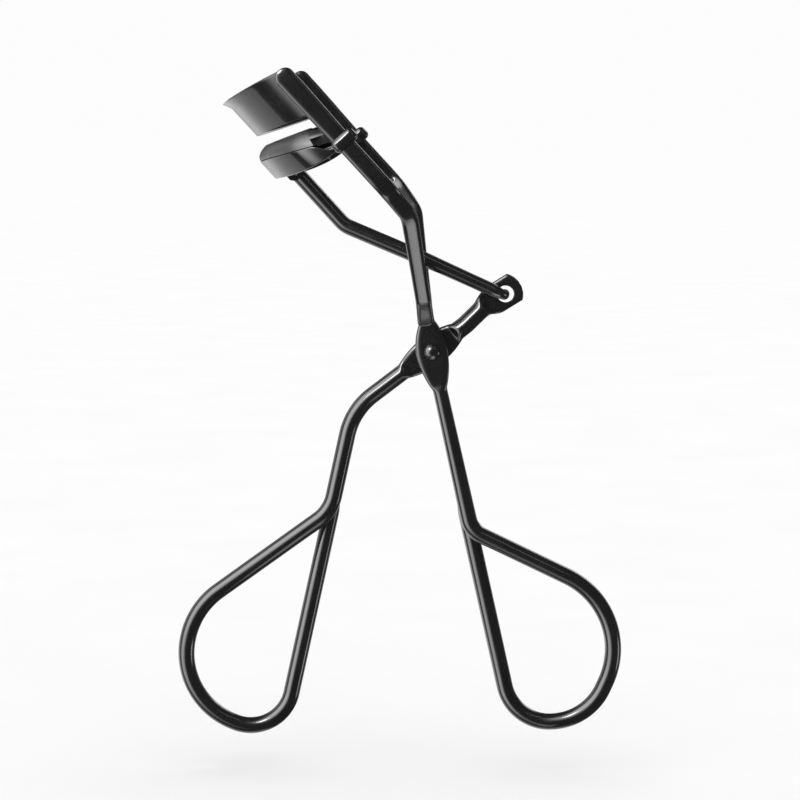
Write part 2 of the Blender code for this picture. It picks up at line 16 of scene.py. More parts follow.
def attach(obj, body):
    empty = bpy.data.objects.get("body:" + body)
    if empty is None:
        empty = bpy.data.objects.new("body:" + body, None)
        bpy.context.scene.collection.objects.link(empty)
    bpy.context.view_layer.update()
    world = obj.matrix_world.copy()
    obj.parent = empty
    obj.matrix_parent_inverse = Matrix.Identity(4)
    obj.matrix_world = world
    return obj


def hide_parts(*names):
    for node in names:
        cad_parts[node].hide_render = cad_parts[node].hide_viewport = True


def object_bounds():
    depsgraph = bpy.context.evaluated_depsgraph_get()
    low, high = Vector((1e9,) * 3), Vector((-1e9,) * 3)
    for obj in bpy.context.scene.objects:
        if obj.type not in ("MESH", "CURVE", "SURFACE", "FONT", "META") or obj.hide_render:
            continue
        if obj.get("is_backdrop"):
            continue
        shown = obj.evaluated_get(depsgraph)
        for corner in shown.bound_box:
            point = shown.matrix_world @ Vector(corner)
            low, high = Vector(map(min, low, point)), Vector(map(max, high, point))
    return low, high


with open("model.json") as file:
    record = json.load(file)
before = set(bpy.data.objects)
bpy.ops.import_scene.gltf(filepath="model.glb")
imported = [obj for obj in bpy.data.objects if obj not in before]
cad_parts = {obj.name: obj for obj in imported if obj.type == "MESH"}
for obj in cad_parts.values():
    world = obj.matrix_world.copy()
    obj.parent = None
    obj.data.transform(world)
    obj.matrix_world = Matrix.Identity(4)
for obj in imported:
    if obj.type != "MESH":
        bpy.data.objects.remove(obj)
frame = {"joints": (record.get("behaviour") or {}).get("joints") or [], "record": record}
CAD_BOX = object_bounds()

MM = 0.001
JOINTS = {joint["name"]: joint for joint in frame["joints"]}
PIVOT = Vector(JOINTS["lever_hinge"]["pos_m"]) / MM
PIN = Vector(JOINTS["link_hinge"]["pos_m"]) / MM - PIVOT
RAIL_AXIS = Vector(JOINTS["jaw_slide"]["axis"]).normalized()
RAIL_OUT = Vector((-RAIL_AXIS.z, 0, RAIL_AXIS.x))
RAIL_OFFSET = 12.75
RAIL_ORIGIN = -RAIL_OUT * RAIL_OFFSET

# The pieces' sizes, in millimetres. They are the CAD's, apart from a smaller rivet head, thinner rails' feet
# and a slightly thicker hook.
EYE = Vector((11.5, 1.3, 9.0))
BOSS_THICKNESS = 1.8
BOSS_WIDTH = 5.0
FRAME_BOSS_Y = -1.3
LEVER_BOSS_Y = 1.3
RIVET_RADIUS = 0.95
RIVET_BORE = 1.02
RIVET_HEAD_RADIUS = 1.22
RIVET_HEAD_HEIGHT = 0.8
RIVET_TAIL_HEIGHT = 0.5
STACK_GAP = 0.06
SPACER_RADIUS = 2.1
SPACER_THICKNESS = 0.68
WASHER_RADIUS = 1.9
WASHER_THICKNESS = 0.4
LOOP_WIRE = 2.6
LEVER_STEM_WIRE = 2.65
LEVER_ARM_WIRE = 2.95
FRAME_STEM_WIRE = 2.3
RAIL_TOP_WIDTH = 3.2
RAIL_WIDTH = 2.75
RAIL_FOOT_WIDTH = 2.45
RAIL_THICKNESS = 1.4
RAIL_FOOT_THICKNESS = 0.4
RAIL_FOOT_OFFSET = 1.52
RAIL_Y = 16.4
RAIL_TOP = 47.85
RAIL_STRAIGHT_FROM = 23.3
KNEE = (-3.3, 11.0, 21.75)
JAW_TILT = 0.42
PLATE_RADIUS = 17.2
PLATE_CENTRE = -7.0
PLATE_THICKNESS = 0.9
PLATE_EDGE = 0.13
PLATE_END_Y = 15.6
HOLDER_RADIUS = 19.2
HOLDER_CENTRE = -6.65
HOLDER_WALL = 0.6
HOLDER_INNER_RADIUS = 14.7
HOLDER_END_Y = 14.95
HOLDER_END_ANGLE = math.radians(67)
PAD_END_ANGLE = math.radians(61)
PAD_TAB_ANGLE = math.radians(54.5)
PAD_STEM_END_ANGLE = math.radians(48)
FLOOR_TILT = 0.475
FLOOR_THICKNESS = 0.7
COLLAR_SIZE = Vector((4.2, 2.7, 2.2))
COLLAR_SHIFT = -0.25
COLLAR_BOTTOM = 32.2
COLLAR_HOLE = (3.12, 1.62)
LINK_RADIUS = 1.22
LINK_END_RADIUS = 1.06
HOOK_RADIUS = 0.78
EYE_HOLE_RADIUS = 1.35
EYE_PLATE_THICKNESS = 1.5
KNUCKLE_RADIUS = 1.1
KNUCKLE_WIDTH = 2.5
KNUCKLE_PLAY = 0.15
PIN_RADIUS = 0.6
EAR_THICKNESS = 0.6

# Details that only these pieces have, in millimetres.
TAIL_LENGTH = 6.0
TAIL_SHARE = 0.62
TAIL_ROUND = 1.2
BEAD_SIZE = (0.75, 1.0, 2.0)
BORE_LIP = 0.12
PIN_BORE_LIP = 0.06

# The lever's loop swings down past the rest box when the handles close. The floor lies this far below that
# box, in metres.
FLOOR_DROP = 0.0055

# How finely the surfaces are made, in millimetres along a wire.
WIRE_SIDES = 64
ARC_STEP = math.radians(3)
FORGED_STEP = 0.25
RAIL_STEP = 0.5
LINK_STEP = 0.3
END_STEP = 0.06
SPOKE_STEP = math.radians(1.5)
SHARP_ANGLE = 40

# The coats' colours, at their darkest and lightest.
ENAMEL_COLOURS = (0.0075, 0.0075, 0.008, 1), (0.011, 0.011, 0.0115, 1)
SILICONE_COLOURS = (0.012, 0.012, 0.0125, 1), (0.02, 0.02, 0.021, 1)


# ---------------------------------------------------------------- mesh tools


def smoothstep(low, high, value):
    t = min(max((value - low) / (high - low), 0.0), 1.0)
    return t * t * (3.0 - 2.0 * t)


def mix(a, b, share):
    return a + (b - a) * share


def to_world(point):
    """A pivot-frame point in millimetres, in the frame's metres."""
    return (PIVOT + point) * MM


def from_rails(point):
    """A rail-frame point as a pivot-frame point."""
    return RAIL_ORIGIN + RAIL_OUT * point.x + Vector((0, -point.y, 0)) + RAIL_AXIS * point.z


def make_object(name, bm, sharp=SHARP_ANGLE):
    """A smooth-shaded object from a bmesh, with its edges sharp above an angle in degrees."""
    bmesh.ops.recalc_face_normals(bm, faces=bm.faces)
    mesh = bpy.data.meshes.new(name)
    bm.to_mesh(mesh)
    bm.free()
    mesh.shade_smooth()
    mesh.set_sharp_from_angle(angle=math.radians(sharp))
    obj = bpy.data.objects.new(name, mesh)
    bpy.context.scene.collection.objects.link(obj)
    return obj


def loft(name, rings, sharp=SHARP_ANGLE):
    """A closed skin through rings of equal length, in pivot-frame millimetres, with flat ends."""
    bm = bmesh.new()
    rows = [[bm.verts.new(to_world(point)) for point in ring] for ring in rings]
    count = len(rows[0])
    for first, second in zip(rows, rows[1:]):
        for i in range(count):
            j = (i + 1) % count
            bm.faces.new((first[i], first[j], second[j], second[i]))
    bm.faces.new(rows[0])
    bm.faces.new(rows[-1])
    return make_object(name, bm, sharp)


def spun(name, profile, sides, place):
    """A profile of (radius, height) spun about an axis, each point put in the pivot frame by place.

    A profile that starts off the axis is closed into a ring. The corners are made in a fixed order, so
    every run gives the same mesh.
    """
    bm = bmesh.new()
    rings = []
    for radius, height in profile:
        turns = [2 * math.pi * i / sides for i in range(sides if radius > 0 else 1)]
        points = [place(Vector((radius * math.cos(a), height, -radius * math.sin(a)))) for a in turns]
        rings.append([bm.verts.new(to_world(point)) for point in points])
    strips = list(zip(rings, rings[1:]))
    if profile[0][0] > 0:
        strips.append((rings[-1], rings[0]))
    for first, second in strips:
        for i in range(sides):
            ends = [(ring[i % len(ring)], ring[(i + 1) % len(ring)]) for ring in (first, second)]
            corners = (ends[0][0], ends[0][1], ends[1][1], ends[1][0])
            bm.faces.new(tuple(dict.fromkeys(corners)))
    return make_object(name, bm)


def turned(name, profile, centre, sides=72):
    """A profile of (radius, y) turned about a line along Y."""
    return spun(name, profile, sides, lambda point: centre + point)


def combine(obj, other, operation):
    """An exact union or difference, with its result kept in obj's mesh and the other object removed."""
    modifier = obj.modifiers.new("Shape", "BOOLEAN")
    modifier.operation = operation
    modifier.object = other
    modifier.solver = "EXACT"
    modifier.use_self = operation == "UNION"
    bpy.context.view_layer.update()
    evaluated = obj.evaluated_get(bpy.context.evaluated_depsgraph_get())
    mesh = bpy.data.meshes.new_from_object(evaluated)
    obj.modifiers.clear()
    obj.data = mesh
    mesh.name = obj.name
    mesh.shade_smooth()
    mesh.set_sharp_from_angle(angle=math.radians(SHARP_ANGLE))
    bpy.data.objects.remove(other, do_unlink=True)


def bore_profile(radius, half, lip):
    """A cutter that opens a hole with a small round lip at each face, and reaches well past both."""
    flare = 0.4
    overshoot = 2.0
    rim = [
        (radius + lip * (1 - math.cos(math.radians(a))), half - lip * (1 - math.sin(math.radians(a))))
        for a in range(0, 91, 15)
    ]
    far = [(radius + lip + flare, half + 0.02), (radius + lip + flare, half + overshoot)]
    upper = rim + far
    lower = [(r, -y) for r, y in reversed(upper)]
    return [(0, -half - overshoot)] + lower + upper + [(0, half + overshoot)]


def round_corners(corners):
    """The points of a bent wire. Each corner is (x, y, z, inside bend radius); the ends have no radius."""
    points = [Vector(corners[0][:3])]
    for before, corner, after in zip(corners, corners[1:], corners[2:]):
        middle = Vector(corner[:3])
        back = (Vector(before[:3]) - middle).normalized()
        ahead = (Vector(after[:3]) - middle).normalized()
        half = back.angle(ahead) / 2
        reach = corner[3] / math.tan(half)
        start = middle + back * reach
        end = middle + ahead * reach
        centre = middle + (back + ahead).normalized() * corner[3] / math.sin(half)
        turned_by = math.pi - 2 * half
        axis = (start - centre).cross(end - centre)
        count = max(3, math.ceil(turned_by / ARC_STEP))
        for i in range(count + 1):
            points.append(centre + Quaternion(axis, turned_by * i / count) @ (start - centre))
    points.append(Vector(corners[-1][:3]))
    return points


def path_length(path):
    return sum((b - a).length for a, b in zip(path, path[1:]))


def stations(path, stretches):
    """(distance, point, tangent) along a path: at its own points, and by steps over some stretches.

    Each stretch is (from, to, step).
    """
    nearest = 0.03
    reach = 0.25
    marks = [0.0]
    for a, b in zip(path, path[1:]):
        marks.append(marks[-1] + (b - a).length)
    wanted = set(marks)
    for low, high, step in stretches:
        count = math.ceil((high - low) / step)
        wanted.update(mix(low, high, i / count) for i in range(count + 1))
    merged = []
    for distance in sorted(d for d in wanted if 0 <= d <= marks[-1]):
        if not merged or distance - merged[-1] > nearest:
            merged.append(distance)
    merged[-1] = marks[-1]

    def point_at(distance):
        for a, b, low, high in zip(path, path[1:], marks, marks[1:]):
            if distance <= high:
                return a.lerp(b, (distance - low) / (high - low))
        return path[-1]

    found = []
    for distance in merged:
        ahead = point_at(min(distance + reach, marks[-1]))
        behind = point_at(max(distance - reach, 0.0))
        found.append((distance, point_at(distance), (ahead - behind).normalized()))
    return found


def section(point, tangent, width, thickness, squareness):
    """A rounded section across a wire: an ellipse at squareness 2, a flat strip with round edges above."""
    side = Vector((0, 1, 0)).cross(tangent).normalized()
    up = side.cross(tangent).normalized()
    ring = []
    for i in range(WIRE_SIDES):
        angle = 2 * math.pi * (i + 0.5) / WIRE_SIDES
        across = math.copysign(abs(math.cos(angle)) ** (2 / squareness), math.cos(angle))
        through = math.copysign(abs(math.sin(angle)) ** (2 / squareness), math.sin(angle))
        ring.append(point + side * across * width / 2 + up * through * thickness / 2)
    return ring


def forged_wire(name, path, size_at, forged, round_ends, thinning=1.0, tail=1.0):
    """A wire along a path whose section changes as size_at(distance) = (width, thickness, squareness).

    Forged is a list of stretches (from, to, step) to follow closely, and round_ends the radii of both ends.
    Thinning says how far the thickness shares in the rounding of the ends: 0 for an end cut from sheet.
    Tail is the share of its width that the wire tapers to at its far end.
    """
    smallest_share = 0.1
    length = path_length(path)
    ends = [(0.0, round_ends[0], END_STEP), (length - round_ends[1], length, END_STEP)]
    rows = []
    for distance, point, tangent in stations(path, forged + [end for end in ends if end[0] < end[1]]):
        width, thickness, squareness = size_at(distance)
        width *= mix(tail, 1.0, smoothstep(0, TAIL_LENGTH, length - distance))
        for radius, gap in zip(round_ends, (distance, length - distance)):
            if radius and gap < radius:
                shrink = max(math.sqrt(1 - (1 - gap / radius) ** 2), smallest_share)
                width *= shrink
                thickness *= shrink**thinning
        rows.append(section(point, tangent, width, thickness, squareness))
    return loft(name, rows)


def boss_section(along, wire, reach=4.9):
    """(width, thickness, squareness) of a wire forged into a flat lens around the rivet."""
    lens = BOSS_WIDTH - (BOSS_WIDTH - wire) * (along / reach) ** 2
    flat = 1.0 - smoothstep(reach - 1.0, reach + 0.5, abs(along))
    return max(wire, lens), mix(wire, BOSS_THICKNESS, flat), mix(2.0, 5.0, flat)


def bead(centre, direction):
    """The bead of braze that joins a loop's end to its own stem: an egg that lies along the wire."""
    bands = 20
    turn = Vector((0, 0, 1)).rotation_difference(Vector(direction))

    def place(point):
        egg = Vector((point.x * BEAD_SIZE[0], point.z * BEAD_SIZE[1], point.y * BEAD_SIZE[2]))
        return Vector(centre) + turn @ egg

    angles = [math.pi * i / bands for i in range(1, bands)]
    profile = [(0.0, 1.0)] + [(math.sin(a), math.cos(a)) for a in angles] + [(0.0, -1.0)]
    return spun("bead", profile, 32, place)


def soften(ring, cut, count=4, only=None):
    """Each corner of a ring, or only some, replaced by a small round from one edge to the next."""
    most = 0.45
    softened = []
    for i, corner in enumerate(ring):
        if only is not None and i not in only:
            softened.append(corner)
            continue
        before = ring[i - 1] - corner
        after = ring[(i + 1) % len(ring)] - corner
        start = corner + before.normalized() * min(cut, before.length * most)
        end = corner + after.normalized() * min(cut, after.length * most)
        for step in range(count + 1):
            t = step / count
            softened.append(start * (1 - t) ** 2 + corner * 2 * t * (1 - t) + end * t * t)
    return softened


# ---------------------------------------------------------------- frame pieces


def make_frame_wire():
    """Stub, boss, stem and right finger loop in one wire."""
    y = FRAME_BOSS_Y
    path = round_corners([
        (-1.2, y, 7.2, 0),
        (-0.04, y, -0.3, 12.0),
        (6.22, y, -28.45, 4.0),
        (32.86, y, -41.18, 13.0),
        (25.0, y + 0.3, -58.7, 9.4),
        (13.0, y + 0.9, -59.9, 7.2),
        (5.5, y + 2.75, -26.6, 9.0),
        (4.3, y + 1.7, -20.5, 0),
    ])
    boss_at = 7.26
    stub_width = 2.35
    stub_thickness = 1.5

    def size_at(distance):
        along = distance - boss_at
        if along < 0:
            width, thickness, squareness = boss_section(along, stub_width)
            stub = smoothstep(4.4, 5.2, -along)
            return width, mix(thickness, stub_thickness, stub), mix(squareness, 4.0, stub)
        wire = mix(FRAME_STEM_WIRE, LOOP_WIRE, smoothstep(6, 26, along))
        return boss_section(along, wire, reach=6.1)

    forged = [(0, 16, FORGED_STEP)]
    wire = forged_wire("frame_loop_wire", path, size_at, forged, (0, TAIL_ROUND), tail=TAIL_SHARE)
    combine(wire, bead((5.4, y + 1.5, -25.5), (0.2, 0.05, -1)), "UNION")
    profile = bore_profile(RIVET_BORE, BOSS_THICKNESS / 2, BORE_LIP)
    combine(wire, turned("bore", profile, Vector((0, y, 0))), "DIFFERENCE")
    return wire


def make_guide_rail(name, side, foot_y):
    """A flattened wire: straight rail, knee, and a leg that leans in to the frame's stub and thins there."""
    foot_lean = 0.72
    foot_length = 4
    top = RAIL_ORIGIN + RAIL_AXIS * RAIL_TOP
    bend = RAIL_ORIGIN + RAIL_AXIS * RAIL_STRAIGHT_FROM
    path = round_corners([
        (top.x, side * RAIL_Y, top.z, 0),
        (bend.x, side * RAIL_Y, bend.z, 5.0),
        (KNEE[0], side * KNEE[1], KNEE[2], 5.5),
        (-1.35, foot_y, 8.0, 3.0),
        (-1.0, foot_y - side * foot_lean, 4.1, 0),
    ])
    length = path_length(path)

    def size_at(distance):
        straight = mix(RAIL_TOP_WIDTH, RAIL_WIDTH, smoothstep(3, 17, distance))
        width = mix(straight, RAIL_FOOT_WIDTH, smoothstep(26, 46, distance))
        foot = smoothstep(length - foot_length, length, distance)
        return width, mix(RAIL_THICKNESS, RAIL_FOOT_THICKNESS, foot), 3.4

    return forged_wire(name, path, size_at, [(0, length, RAIL_STEP)], (1.45, 0.5), thinning=0.2)


def plate_plan():
    """Points and outward normals of the fixed jaw's outer face, seen along the rails."""
    fillet = 3.0
    inner = PLATE_RADIUS - fillet
    rise = PLATE_END_Y - fillet
    fillet_centre = PLATE_CENTRE + math.sqrt(inner**2 - rise**2)
    joint = math.atan2(rise, fillet_centre - PLATE_CENTRE)
    half = []
    for i in range(49):
        angle = joint * i / 48
        normal = Vector((math.cos(angle), math.sin(angle), 0))
        half.append((Vector((PLATE_CENTRE, 0, 0)) + normal * PLATE_RADIUS, normal))
    for i in range(1, 13):
        angle = mix(joint, math.pi / 2, i / 12)
        normal = Vector((math.cos(angle), math.sin(angle), 0))
        half.append((Vector((fillet_centre, rise, 0)) + normal * fillet, normal))
    mirrored = [
        (Vector((p.x, -p.y, 0)), Vector((n.x, -n.y, 0))) for p, n in reversed(half[1:])
    ]
    return mirrored + half


def make_fixed_jaw():
    """A curved wall between the rails' tops, with a small flared lip along its upper edge."""
    lip_height = 1.7
    lip_reach = 0.65
    rings = []
    for point, normal in plate_plan():
        bottom = 39.25 + JAW_TILT * point.x
        top = 47.75 + 0.30 * point.x
        flare = lip_reach * (1.0 - smoothstep(7.0, PLATE_END_Y, abs(point.y)))
        face = []
        for i in range(25):
            height = mix(bottom, top, i / 24)
            lift = flare * min(max((height - top + lip_height) / lip_height, 0.0), 1.0) ** 1.7
            face.append(Vector((lift, height, 0)))
        back = [Vector((p.x - PLATE_THICKNESS, p.y, 0)) for p in reversed(face)]
        outline = soften(face + back, PLATE_EDGE, only=(0, 24, 25, 49))
        rings.append([
            from_rails(point + normal * p.x + Vector((0, 0, p.y))) for p in outline
        ])
    return loft("fixed_jaw", rings)


def make_rivet():
    """A shank through both bosses, with a domed head in front and a rounded tail behind the washer."""
    head_edge = 0.12
    tail_round = 0.25
    head_face = FRAME_BOSS_Y - BOSS_THICKNESS / 2 - STACK_GAP
    tail_face = LEVER_BOSS_Y + BOSS_THICKNESS / 2 + WASHER_THICKNESS + 2 * STACK_GAP
    dome = [
        (
            RIVET_HEAD_RADIUS * math.sin(math.radians(angle)),
            head_face - head_edge - (RIVET_HEAD_HEIGHT - head_edge) * math.cos(math.radians(angle)),
        )
        for angle in range(0, 91, 5)
    ]
    tail = [
        (
            RIVET_HEAD_RADIUS - tail_round + tail_round * math.cos(math.radians(angle)),
            tail_face + RIVET_TAIL_HEIGHT / 2 + tail_round * math.sin(math.radians(angle)),
        )
        for angle in range(0, 91, 10)
    ]
    profile = dome + [
        (RIVET_HEAD_RADIUS - 0.06, head_face),
        (RIVET_RADIUS, head_face),
        (RIVET_RADIUS, tail_face),
        (RIVET_HEAD_RADIUS - 0.05, tail_face),
    ] + tail + [(0.0, tail_face + RIVET_TAIL_HEIGHT)]
    return turned("dome_rivet", profile, Vector((0, 0, 0)))


def make_washer(name, radius, thickness, y):
    """A flat ring with its edges eased."""
    half = thickness / 2
    ease = 0.12
    profile = [
        (RIVET_BORE, -half),
        (radius - ease, -half),
        (radius, -half + ease),
        (radius, half - ease),
        (radius - ease, half),
        (RIVET_BORE, half),
    ]
    return turned(name, profile, Vector((0, y, 0)))


# ---------------------------------------------------------------- lever


def make_lever_wire():
    """Eye, short arm, boss, stem and left finger loop in one wire."""
    arm = Vector((EYE.x, 0, EYE.z)).normalized()
    across = Vector((-arm.z, 0, arm.x))
    eye_distance = Vector((EYE.x, 0, EYE.z)).length
    tip = 17.4
    end = arm * tip - across * 0.12
    neck = arm * 11.2 + across * 0.55
    waist = arm * 6.5
    path = round_corners([
        (end.x, LEVER_BOSS_Y, end.z, 0),
        (neck.x, LEVER_BOSS_Y, neck.z, 5.0),
        (waist.x, LEVER_BOSS_Y, waist.z, 8.0),
        (-12.75, LEVER_BOSS_Y, -9.6, 10.7),
        (-16.2, -0.3, -25.6, 6.4),
        (-38.05, -0.3, -41.4, 12.5),
        (-41.35, -0.1, -56.2, 11.9),
        (-24.3, 0.5, -62.9, 6.7),
        (-16.25, 2.7, -25.95, 9.0),
        (-15.45, 1.75, -20.3, 0),
    ])
    plate_half = 2.42
    smallest_half = 0.5
    tip_radius = 3.4
    tip_centre = eye_distance + 2.85 - tip_radius

    def size_at(distance):
        along = tip - distance
        if along < 7.5:
            stem = mix(LEVER_STEM_WIRE, LOOP_WIRE, smoothstep(24, 44, -along))
            wire = mix(stem, LEVER_ARM_WIRE, smoothstep(-2, 2, along))
            return boss_section(along, wire, reach=mix(5.8, 4.9, smoothstep(-2, 2, along)))
        flat = smoothstep(10.1, 11.7, along)
        half = mix(LEVER_ARM_WIRE / 2, plate_half, smoothstep(9.5, 13.0, along))
        rounding = tip_radius**2 - max(along - tip_centre, 0.0) ** 2
        half = min(half, math.sqrt(max(rounding, smallest_half**2)))
        return 2 * half, mix(LEVER_ARM_WIRE, EYE_PLATE_THICKNESS, flat), mix(2.0, 6.0, flat)

    forged = [(0, 26, FORGED_STEP)]
    wire = forged_wire("lever_loop_wire", path, size_at, forged, (0, TAIL_ROUND), tail=TAIL_SHARE)
    combine(wire, bead((-15.9, 1.3, -25.2), (-0.2, 0.05, -1)), "UNION")
    bore = bore_profile(RIVET_BORE, BOSS_THICKNESS / 2, BORE_LIP)
    combine(wire, turned("bore", bore, Vector((0, LEVER_BOSS_Y, 0))), "DIFFERENCE")
    hole = bore_profile(EYE_HOLE_RADIUS, EYE_PLATE_THICKNESS / 2, 0.16)
    combine(wire, turned("hole", hole, EYE), "DIFFERENCE")
    return wire


# ---------------------------------------------------------------- pad jaw


def holder_outer(angle):
    """Distance from the arc's centre to the holder's outer face: round, then flat beside the rails."""
    beside_rail = HOLDER_END_Y / max(math.sin(abs(angle)), 0.01)
    sharpness = 24
    total = HOLDER_RADIUS**-sharpness + beside_rail**-sharpness
    return total ** (-1 / sharpness)


def at_angle(angle, radius, height_of):
    """A point on a spoke of the lower jaw's arc, at a height that depends on how far it bulges."""
    bulge = HOLDER_CENTRE + radius * math.cos(angle)
    return from_rails(Vector((bulge, radius * math.sin(angle), height_of(bulge))))


def skirt_height(bulge):
    return 32.97 - 0.05 * bulge + 0.0277 * bulge**2


def floor_height(bulge):
    return 32.5 + FLOOR_TILT * bulge


def floor_top(bulge):
    return floor_height(bulge) + FLOOR_THICKNESS


def full_rim(bulge):
    return 33.9 + 0.515 * bulge


def rim_height(bulge):
    notched = full_rim(bulge) - 1.15 * (1.0 - smoothstep(2.4, 4.4, bulge))
    return max(notched, skirt_height(bulge) + 0.75)


def pad_top(bulge):
    return 37.3 + JAW_TILT * bulge


def spokes(end_angle):
    count = 2 * math.ceil(end_angle / SPOKE_STEP)
    return [mix(-end_angle, end_angle, i / count) for i in range(count + 1)]


def make_jaw_holder():
    """A curved channel: a tall outer wall with a skirt, a floor and a low inner wall."""
    inner_wall_height = 0.75
    edge_round = 0.2

    def inner_rim(bulge):
        return floor_top(bulge) + inner_wall_height

    rings = []
    for angle in spokes(HOLDER_END_ANGLE):
        outer = holder_outer(angle)
        pocket_out = outer - HOLDER_WALL
        pocket_in = HOLDER_INNER_RADIUS + HOLDER_WALL
        outline = [
            (outer, skirt_height),
            (outer, rim_height),
            (pocket_out, rim_height),
            (pocket_out, floor_top),
            (pocket_in, floor_top),
            (pocket_in, inner_rim),
            (HOLDER_INNER_RADIUS, inner_rim),
            (HOLDER_INNER_RADIUS, floor_height),
            (pocket_out, floor_height),
            (pocket_out, skirt_height),
        ]
        ring = [at_angle(angle, radius, height) for radius, height in outline]
        rings.append(soften(ring, edge_round))
    return loft("jaw_holder", rings, sharp=50)


def make_pad():
    """A head that rests on the holder's outer rim, with a rounded brow and ends, and a stem below it."""
    gap = 0.05
    edge = 1.0
    brow = 2.2
    brow_start = 0.25
    tab_height = 0.45
    step = math.radians(0.12)

    def under_head(bulge):
        return full_rim(bulge) + gap

    def stem_foot(bulge):
        return floor_top(bulge) + gap

    def stem_top(bulge):
        return mix(under_head(bulge), pad_top(bulge), 0.3)

    def tab_at(angle):
        """1 over the low tabs at the pad's ends, and 0 between them."""
        return smoothstep(PAD_TAB_ANGLE - step, PAD_TAB_ANGLE + step, abs(angle))

    def head_point(angle, radius, share, drop):
        """A point of the head: share of the way up its side, and drop below its crown."""
        rise = mix(tab_height * tab_at(angle), 1.0, share)
        return at_angle(angle, radius, lambda b: mix(under_head(b), pad_top(b) - drop, rise))

    cuts = [side * (PAD_TAB_ANGLE + shift) for side in (-1, 1) for shift in (-step, 0, step)]
    head_rings = []
    for angle in sorted(spokes(PAD_END_ANGLE) + cuts):
        end = 1.0 - 0.6 * tab_at(angle)
        outer = holder_outer(angle) - 0.1 - 0.3 * (1 - end)
        inner = HOLDER_INNER_RADIUS + 0.15 + 0.3 * (1 - end)
        crown_drop = 0.35 * (1 - end)
        ring = [head_point(angle, outer - 0.06, 0.0, crown_drop)]
        ring.append(head_point(angle, outer, 0.02, crown_drop))
        for i in range(1, 17):
            t = i / 16
            out = outer - 2 * t * (1 - t) * brow_start - t * t * brow
            ring.append(head_point(angle, out, 2 * t * (1 - t) * 0.6 + t * t, crown_drop))
        for i in range(1, 5):
            ring.append(head_point(angle, mix(outer - brow, inner + edge, i / 5), 1.0, crown_drop))
        for i in range(9):
            a = math.pi / 2 * i / 8
            out = inner + edge - edge * math.sin(a)
            ring.append(head_point(angle, out, 1.0, crown_drop + edge - edge * math.cos(a)))
        ring.append(head_point(angle, inner, 0.06, crown_drop))
        ring.append(head_point(angle, inner + 0.1, 0.0, crown_drop))
        head_rings.append(ring)
    pad = loft("lash_pad", head_rings, sharp=60)

    stem_rings = []
    for angle in spokes(PAD_STEM_END_ANGLE):
        outer = holder_outer(angle) - HOLDER_WALL - gap
        inner = HOLDER_INNER_RADIUS + HOLDER_WALL + gap
        outline = [(outer, stem_foot), (outer, stem_top), (inner, stem_top), (inner, stem_foot)]
        stem_rings.append([at_angle(angle, radius, height) for radius, height in outline])
    combine(pad, loft("pad_stem", stem_rings), "UNION")
    return pad


def rounded_block(name, centre, size, radius):
    """A rail-frame box with all its edges rounded."""
    bm = bmesh.new()
    bmesh.ops.create_cube(bm, size=1.0)
    bmesh.ops.scale(bm, vec=size, verts=bm.verts)
    if radius:
        bmesh.ops.bevel(
            bm, geom=bm.edges[:], offset=radius, segments=8, profile=0.5, affect="EDGES"
        )
    bmesh.ops.translate(bm, vec=centre, verts=bm.verts)
    for vert in bm.verts:
        vert.co = to_world(from_rails(vert.co))
    return make_object(name, bm)


def make_collar(name, side):
    """A sleeve round one rail, beside the end of the pad jaw's holder."""
    edge_round = 0.8
    hole_round = 0.25
    hole_size = Vector((*COLLAR_HOLE, 6))
    middle = COLLAR_BOTTOM + COLLAR_SIZE.z / 2
    centre = Vector((COLLAR_SHIFT, side * RAIL_Y, middle))
    collar = rounded_block(name, centre, COLLAR_SIZE, edge_round)
    hole = rounded_block("hole", Vector((0, side * RAIL_Y, middle)), hole_size, hole_round)
    combine(collar, hole, "DIFFERENCE")
    return collar


def make_bracket():
    """A clevis under the pad jaw: a bridge against the floor and two ears for the link's pin."""
    ear_centre = KNUCKLE_WIDTH / 2 + KNUCKLE_PLAY + EAR_THICKNESS / 2
    width = 2 * ear_centre + EAR_THICKNESS
    pin_height = 35.5
    pin_bulge = 9.5
    foot = 34.2
    low, high = 7.9, 10.95
    chamfer = 0.7
    edge_round = 0.25
    fit_gap = 0.08
    slot_size = Vector((8, width - 2 * EAR_THICKNESS, 6))

    def roof(bulge):
        return floor_height(bulge) - fit_gap

    outline = [(low + chamfer, foot), (high - chamfer, foot), (high, foot + chamfer)]
    outline += [(high, roof(high)), (low, roof(low)), (low, foot + chamfer)]
    rings = []
    for i in range(9):
        y = mix(-width / 2, width / 2, i / 8)
        ring = [from_rails(Vector((bulge, y, height))) for bulge, height in outline]
        rings.append(soften(ring, edge_round))
    bracket = loft("pin_bracket", rings)
    slot_top = pin_height + KNUCKLE_RADIUS + 0.1
    slot_centre = Vector((pin_bulge, 0, slot_top - slot_size.z / 2))
    combine(bracket, rounded_block("slot", slot_centre, slot_size, 0), "DIFFERENCE")
    profile = bore_profile(PIN_RADIUS + 0.05, width / 2, PIN_BORE_LIP)
    combine(bracket, turned("bore", profile, PIN, sides=48), "DIFFERENCE")
    return bracket


def make_pin():
    """The link's pin, with its ends rounded over."""
    head = 0.2
    half = KNUCKLE_WIDTH / 2 + KNUCKLE_PLAY + EAR_THICKNESS + 0.25
    ends = [
        (PIN_RADIUS * math.cos(math.radians(a)), half - head + head * math.sin(math.radians(a)))
        for a in range(0, 90, 10)
    ]
    ends.append((0.0, half))
    profile = [(r, -y) for r, y in reversed(ends)] + ends
    return turned("hinge_pin", profile, PIN, sides=48)


